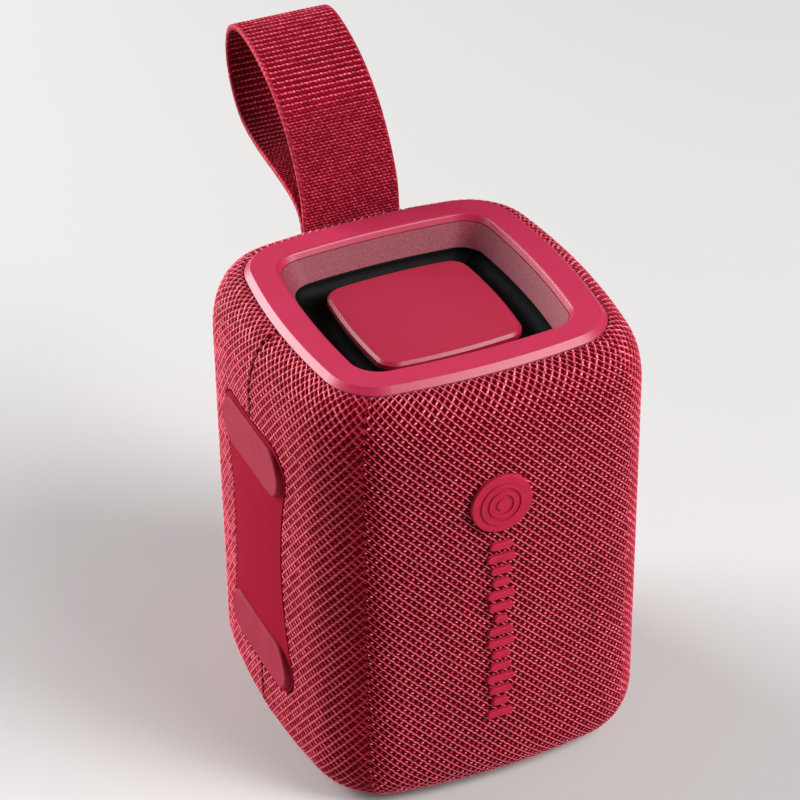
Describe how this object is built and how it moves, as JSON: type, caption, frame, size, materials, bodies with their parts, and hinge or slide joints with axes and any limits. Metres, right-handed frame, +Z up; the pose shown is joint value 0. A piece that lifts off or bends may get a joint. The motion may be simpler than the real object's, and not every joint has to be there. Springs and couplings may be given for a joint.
{
  "type": "portable speaker",
  "caption": "Upright fabric-wrapped portable speaker with end radiators, side feet, a control strip, a covered charging port and a webbing carry loop.",
  "frame": {"origin": "centre of the bottom ring's flat resting face", "axes": "+Z up to the top ring, -Y out of the badge front, -X out of the two feet, +Y towards the carry loop"},
  "size_m": [0.0896, 0.1357, 0.148],
  "materials": {
    "fabric_red": "woven mesh",
    "webbing_red": "ribbed webbing",
    "ring_crimson": "fine satin",
    "panel_crimson": "smooth satin",
    "rubber_crimson": "soft matte",
    "rubber_black": "gloss",
    "housing_plastic": "fine grain",
    "steel": "zinc",
    "ferrite": "ceramic",
    "cone_paper": "pressed paper",
    "spider_cloth": "resin cloth",
    "copper": "enamelled wire",
    "foam_black": "foam",
    "board_green": "solder mask",
    "chip_black": "epoxy",
    "cell_wrap": "shrink film",
    "lens_clear": "clear"
  },
  "bodies": {
    "body": {"fabric_sleeve": "fabric_red", "housing_front": "housing_plastic", "housing_back": "housing_plastic", "housing_screws": "steel", "foot_panel": "panel_crimson", "upper_foot": "rubber_crimson", "lower_foot": "rubber_crimson", "badge_disc": "rubber_crimson", "badge_symbol": "rubber_crimson", "badge_bars": "rubber_crimson", "control_panel": "rubber_crimson", "status_lens": "lens_clear", "button_board": "board_green", "button_switches": "chip_black", "button_board_screws": "steel", "port_bezel": "panel_crimson", "port_cover_pin": "steel", "usb_socket": "steel", "usb_board": "board_green", "main_board": "board_green", "board_chips": "chip_black", "board_screws": "steel", "battery_holder": "housing_plastic", "battery_cell_left": "cell_wrap", "battery_cell_right": "cell_wrap", "holder_screws": "steel", "strap_tail": "webbing_red", "strap_anchor": "steel", "anchor_screws": "steel", "driver_guard": "steel", "driver_gasket": "foam_black", "driver_basket": "steel", "driver_screws": "steel", "driver_surround": "rubber_black", "spider": "spider_cloth", "driver_top_plate": "steel", "driver_magnet": "ferrite", "driver_yoke": "steel", "top_ring": "ring_crimson", "top_radiator_frame": "housing_plastic", "top_frame_screws": "steel", "top_radiator_surround": "rubber_black", "bottom_ring": "ring_crimson", "bottom_radiator_frame": "housing_plastic", "bottom_frame_screws": "steel", "bottom_radiator_surround": "rubber_black"},
    "top_radiator": {"top_radiator_plate": "ring_crimson", "top_radiator_weight": "steel"},
    "bottom_radiator": {"bottom_radiator_plate": "ring_crimson", "bottom_radiator_weight": "steel"},
    "cone": {"driver_cone": "cone_paper", "dust_cap": "cone_paper", "voice_coil": "copper"},
    "cover": {"port_cover": "rubber_crimson"},
    "strap": {"strap_loop": "webbing_red"},
    "button_pair": {"button_pair": "rubber_crimson"},
    "button_minus": {"button_minus": "rubber_crimson"},
    "button_play": {"button_play": "rubber_crimson"},
    "button_plus": {"button_plus": "rubber_crimson"},
    "button_power": {"button_power": "rubber_crimson"}
  },
  "joints": [
    {"name": "top_radiator_travel", "type": "slide", "parent": "body", "child": "top_radiator", "axis": [0, 0, 1], "range_m": [-0.0025, 0.0025], "stiffness_N_per_m": 1500, "deforming": ["top_radiator_surround"]},
    {"name": "bottom_radiator_travel", "type": "slide", "parent": "body", "child": "bottom_radiator", "axis": [0, 0, 1], "range_m": [-0.0025, 0.0025], "stiffness_N_per_m": 1500, "deforming": ["bottom_radiator_surround"]},
    {"name": "cone_travel", "type": "slide", "parent": "body", "child": "cone", "axis": [0, 1, 0], "range_m": [-0.002, 0.002], "stiffness_N_per_m": 1200, "deforming": ["driver_surround", "spider"]},
    {"name": "port_cover_hinge", "type": "hinge", "parent": "body", "child": "cover", "pos_m": [0, 0.044, 0.02485], "axis": [-1, 0, 0], "range_deg": [0, 105]},
    {"name": "strap_hinge", "type": "hinge", "parent": "body", "child": "strap", "pos_m": [0, 0.0422, 0.1114], "axis": [1, 0, 0], "range_deg": [-85, 35], "stiffness_Nm_per_rad": 0.03},
    {"name": "button_pair_press", "type": "slide", "parent": "body", "child": "button_pair", "axis": [-1, 0, 0], "range_m": [0, 0.0007], "stiffness_N_per_m": 500, "springref_m": -0.0002},
    {"name": "button_minus_press", "type": "slide", "parent": "body", "child": "button_minus", "axis": [-1, 0, 0], "range_m": [0, 0.0007], "stiffness_N_per_m": 500, "springref_m": -0.0002},
    {"name": "button_play_press", "type": "slide", "parent": "body", "child": "button_play", "axis": [-1, 0, 0], "range_m": [0, 0.0007], "stiffness_N_per_m": 500, "springref_m": -0.0002},
    {"name": "button_plus_press", "type": "slide", "parent": "body", "child": "button_plus", "axis": [-1, 0, 0], "range_m": [0, 0.0007], "stiffness_N_per_m": 500, "springref_m": -0.0002},
    {"name": "button_power_press", "type": "slide", "parent": "body", "child": "button_power", "axis": [-1, 0, 0], "range_m": [0, 0.0007], "stiffness_N_per_m": 500, "springref_m": -0.0002}
  ]
}
